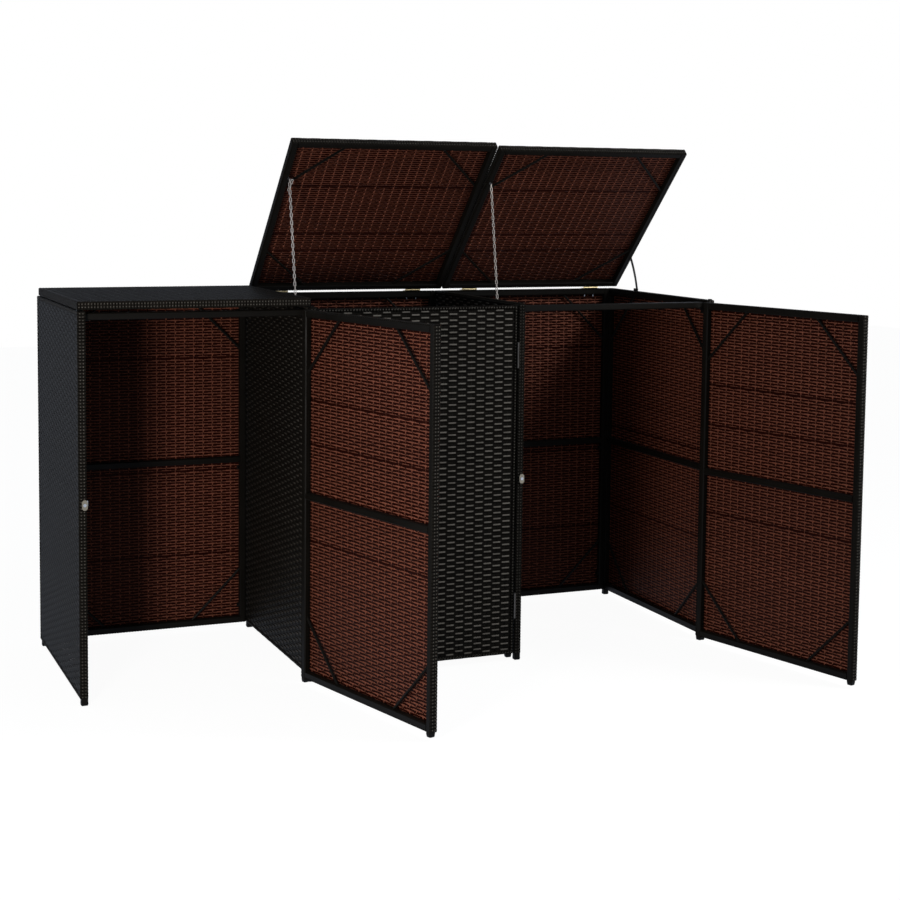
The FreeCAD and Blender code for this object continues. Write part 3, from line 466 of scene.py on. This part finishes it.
def even_finish(name, colour, metallic, roughness, grain_scale, bump, gloss=0.5):
    """A cloudy noise moves colour and roughness a little, and a fine grain stands in relief."""
    material = bpy.data.materials.new(name)
    material.use_nodes = True
    tree = material.node_tree
    shader = tree.nodes["Principled BSDF"]
    shader.inputs["Metallic"].default_value = metallic
    shader.inputs["Specular IOR Level"].default_value = gloss
    spot = link_node(tree, "ShaderNodeTexCoord").outputs["Object"]
    grain = link_node(tree, "ShaderNodeTexNoise", {"Scale": grain_scale, "Detail": GRAIN_DETAIL}, Vector=spot)
    cloud = link_node(tree, "ShaderNodeTexNoise", CLOUD, Vector=spot).outputs[0]
    lighter = link_node(tree, "ShaderNodeMapRange", {**CLOUD_RANGE, "To Min": 1 - COLOUR_SPREAD,
                                                     "To Max": 1 + COLOUR_SPREAD}, Value=cloud)
    tinted = link_node(tree, "ShaderNodeVectorMath", {"operation": "SCALE", 0: hex_colour(colour)[:3]},
                       Scale=lighter.outputs[0])
    tree.links.new(tinted.outputs[0], shader.inputs["Base Color"])
    rough = link_node(tree, "ShaderNodeMapRange", {**CLOUD_RANGE, "To Min": roughness * (1 - ROUGH_SPREAD),
                                                   "To Max": roughness * (1 + ROUGH_SPREAD)}, Value=cloud)
    tree.links.new(rough.outputs[0], shader.inputs["Roughness"])
    relief = link_node(tree, "ShaderNodeBump", {"Strength": bump, "Distance": GRAIN_HEIGHT},
                       Height=grain.outputs[0])
    tree.links.new(relief.outputs[0], shader.inputs["Normal"])
    return material


def dress(names, material):
    """Gives the CAD pieces of these names one material."""
    for name in names:
        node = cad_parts[name]
        node.data.materials.clear()
        node.data.materials.append(material)


powder = even_finish("dark_powder_coated_tube", "#12100d", 0.0, 0.46, PEEL_SCALE, PEEL_BUMP, gloss=0.06)
dress([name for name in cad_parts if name.endswith("_frame")] + ["front_rails"], powder)

# Foot plugs, stile caps, nut caps and lid pads: black moulded plastic, pushed into or onto the tubes. Its
# dull skin, with a grain of 1.1 mm, takes almost no light.
MOULD_SCALE, MOULD_BUMP = 900.0, 0.2
moulded = even_finish("black_moulded_plastic", "#0c0c0c", 0.0, 0.5, MOULD_SCALE, MOULD_BUMP, gloss=0.08)
dress(["feet", "lid_pads", "panel_nuts"] + ["door_caps_%d" % i for i in (1, 2, 3)], moulded)

# Rail brackets and the stay: punched and bent strip steel under black paint, screwed or riveted on. The
# paint is smoother than the powder coat, with brush marks of 1.4 mm.
PAINT_SCALE, PAINT_BUMP = 700.0, 0.15
painted = even_finish("black_painted_strip_steel", "#0a0a0a", 0.0, 0.4, PAINT_SCALE, PAINT_BUMP, gloss=0.1)
dress(["rail_brackets", "stay_arm", "stay_lid_bracket", "stay_side_bracket"], painted)

# Screws, door stops, chain eyes and door knobs: turned or bent steel with a bright zinc plate, the lightest
# metal on the store. All the metal has a faint unevenness of 2 mm.
METAL_SCALE, METAL_BUMP = 500.0, 0.1
zinc = even_finish("bright_zinc_plate", "#b9bcc0", 1.0, 0.32, METAL_SCALE, METAL_BUMP)
dress(["rail_hinge_screws", "catch_screws", "door_stops", "divider_chain_eyes", "lid_2_chain_eye",
       "lid_3_chain_eye"] + ["door_%d_knob" % i for i in (1, 2, 3)], zinc)

# Lid hinges: pressed steel leaves rolled round a pin and screwed to the back rail. Their zinc plate is
# passivated, which gives it a pale yellow tint.
yellow = even_finish("yellow_passivated_zinc", "#b3a27c", 1.0, 0.35, METAL_SCALE, METAL_BUMP)
dress(["rail_hinge_leaves"] + ["lid_%d_hinge_leaves" % i for i in (1, 2, 3)], yellow)

# Turn catches: small cast plates, each on one screw at its post. The passivated casting is duller than
# plate and a little brown.
cream = even_finish("passivated_zinc_casting", "#8c8474", 1.0, 0.4, METAL_SCALE, METAL_BUMP)
dress(["catch_%d" % i for i in (1, 2, 3)], cream)

# Door hinges: pressed steel leaves on the posts and the doors' stiles, with a pin. Their zinc plate has
# gone dark grey and hardly shines.
dull = even_finish("dulled_zinc_plate", "#5e5a55", 1.0, 0.5, METAL_SCALE, METAL_BUMP)
dress(["post_hinge_leaves"] + ["door_%d_hinge_leaves" % i for i in (1, 2, 3)], dull)

# Stay chains: links of bright bent wire between an eye on the lid and one on the divider. A chain is slack
# when its lid is shut. Each chain gets a mesh of its own.
chain = even_finish("bright_chain_wire", "#b3a89c", 1.0, 0.28, METAL_SCALE, METAL_BUMP)
dress(["lid_2_chain", "lid_3_chain"], chain)
for number in (2, 3):
    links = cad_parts["lid_%d_chain" % number]
    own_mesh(links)
